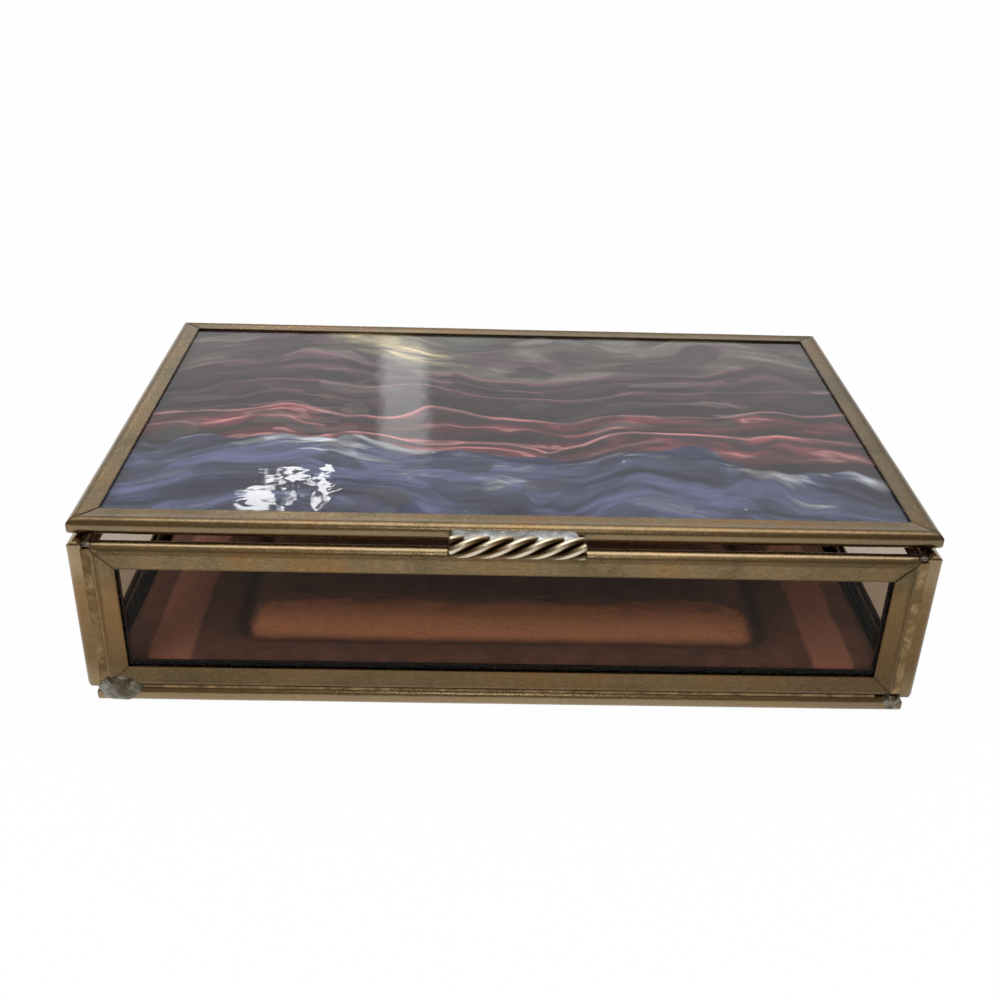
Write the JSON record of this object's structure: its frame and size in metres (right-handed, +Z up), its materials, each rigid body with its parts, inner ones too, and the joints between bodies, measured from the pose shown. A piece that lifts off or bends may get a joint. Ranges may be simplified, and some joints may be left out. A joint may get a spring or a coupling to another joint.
{
  "type": "glass casket box",
  "caption": "Low rectangular glass box framed in antique brass came, with a hinged picture lid, a twisted wire lift and a velvet pad inside.",
  "frame": {"origin": "on the surface that the box stands on, under the middle of its bounding box", "axes": "+X to the box's right seen from the front, +Y to the hinge side at the back, +Z up; the front faces -Y"},
  "size_m": [0.1524, 0.1008, 0.0376],
  "materials": {
    "brass_came": "aged satin brass, olive in the hollows, brighter on the crowns",
    "twisted_wire": "rubbed antique brass, dark between the wires",
    "hinge_brass": "plain drawn brass, dulled",
    "solder": "dull grey lead-tin solder",
    "clear_glass": "clear polished",
    "lid_glass": "clear, slightly wavy",
    "picture": "painted landscape print under glass",
    "card": "dark brown paper board",
    "velvet": "red-brown velvet with a brushed pile"
  },
  "bodies": {
    "casket": {"front_came_top": "brass_came", "front_came_bottom": "brass_came", "front_came_left": "brass_came", "front_came_right": "brass_came", "back_came_top": "brass_came", "back_came_bottom": "brass_came", "back_came_left": "brass_came", "back_came_right": "brass_came", "left_came_top": "brass_came", "left_came_bottom": "brass_came", "left_came_front": "brass_came", "left_came_back": "brass_came", "right_came_top": "brass_came", "right_came_bottom": "brass_came", "right_came_front": "brass_came", "right_came_back": "brass_came", "floor_came_front": "brass_came", "floor_came_back": "brass_came", "floor_came_left": "brass_came", "floor_came_right": "brass_came", "front_glass": "clear_glass", "back_glass": "clear_glass", "left_glass": "clear_glass", "right_glass": "clear_glass", "floor_glass": "clear_glass", "hinge_rod": "hinge_brass", "hinge_rod_solder": "solder", "corner_seam_solder": "solder", "floor_seam_solder": "solder", "floor_corner_solder": "solder", "rim_corner_solder": "solder", "pad_board": "card", "velvet_pad": "velvet"},
    "lid": {"lid_came_front": "brass_came", "lid_came_back": "brass_came", "lid_came_left": "brass_came", "lid_came_right": "brass_came", "lid_glass": "lid_glass", "lid_print": "picture", "lid_backing": "card", "lift_handle": "twisted_wire", "handle_solder": "solder", "hinge_tube": "hinge_brass", "hinge_tube_solder": "solder"}
  },
  "joints": [
    {"name": "lid_hinge", "type": "hinge", "parent": "casket", "child": "lid", "pos_m": [0, 0.04845, 0.0331], "axis": [-1, 0, 0], "range_deg": [0, 102]}
  ]
}
